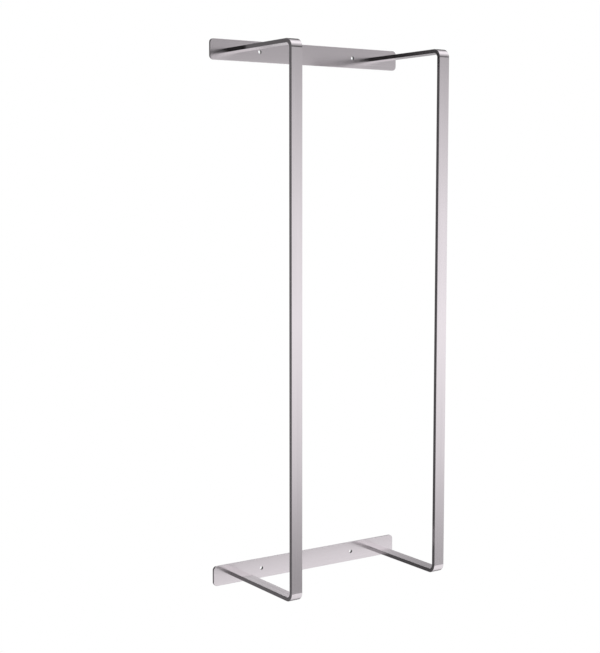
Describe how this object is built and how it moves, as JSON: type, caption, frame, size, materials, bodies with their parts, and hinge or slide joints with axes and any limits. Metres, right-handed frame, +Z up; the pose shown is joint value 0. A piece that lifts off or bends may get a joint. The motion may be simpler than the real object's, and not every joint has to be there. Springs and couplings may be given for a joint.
{
  "type": "wall towel rack",
  "caption": "Wall-mounted rack for rolled towels: bent flat-bar hoops welded to an upper and a lower wall plate, open at the front and at both sides.",
  "frame": {"origin": "on the wall, at the middle of the upper plate's back face, half way between its two screw holes", "axes": "+X to the right along the wall plates, +Y into the wall, +Z up; the uprights face -Y"},
  "size_m": [0.28, 0.14, 0.67],
  "materials": {
    "brushed_plate": "satin stainless steel, fine grain along the plate",
    "brushed_bar": "satin stainless steel, fine grain along the bar",
    "ground_weld": "weld metal ground flush, matt, with a faint heat tint"
  },
  "bodies": {
    "root": {"upper_wall_plate": "brushed_plate", "lower_wall_plate": "brushed_plate", "left_hoop": "brushed_bar", "right_hoop": "brushed_bar", "weld_upper_left": "ground_weld", "weld_upper_right": "ground_weld", "weld_lower_left": "ground_weld", "weld_lower_right": "ground_weld"}
  },
  "joints": []
}
